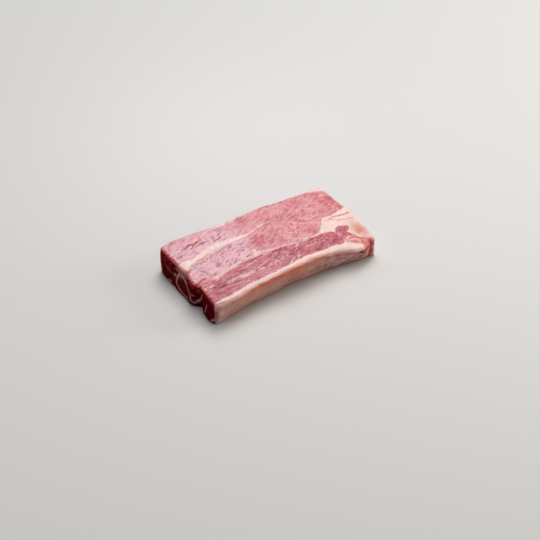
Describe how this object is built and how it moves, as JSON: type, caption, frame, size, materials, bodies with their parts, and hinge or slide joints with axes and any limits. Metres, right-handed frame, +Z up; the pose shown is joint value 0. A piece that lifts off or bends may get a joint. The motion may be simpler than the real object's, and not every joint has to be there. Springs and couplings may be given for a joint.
{
  "type": "raw boneless veal breast",
  "caption": "Thick rectangular slab of raw boneless veal breast, pink meat with cream fat seams and a fat cover along one long side, lying flat.",
  "frame": {"origin": "centre of the bounding box at its lowest level, on the resting face", "axes": "+X along the length of the slab, with the fibres; +Y across it, from the fat cover to the opposite cut side; +Z up"},
  "size_m": [0.213, 0.1156, 0.031],
  "materials": {
    "raw_meat": "moist raw veal, satin; pink lean with cream fat seams, peach fat cover on one long side"
  },
  "bodies": {
    "root": {"veal_breast": "raw_meat"}
  },
  "joints": []
}
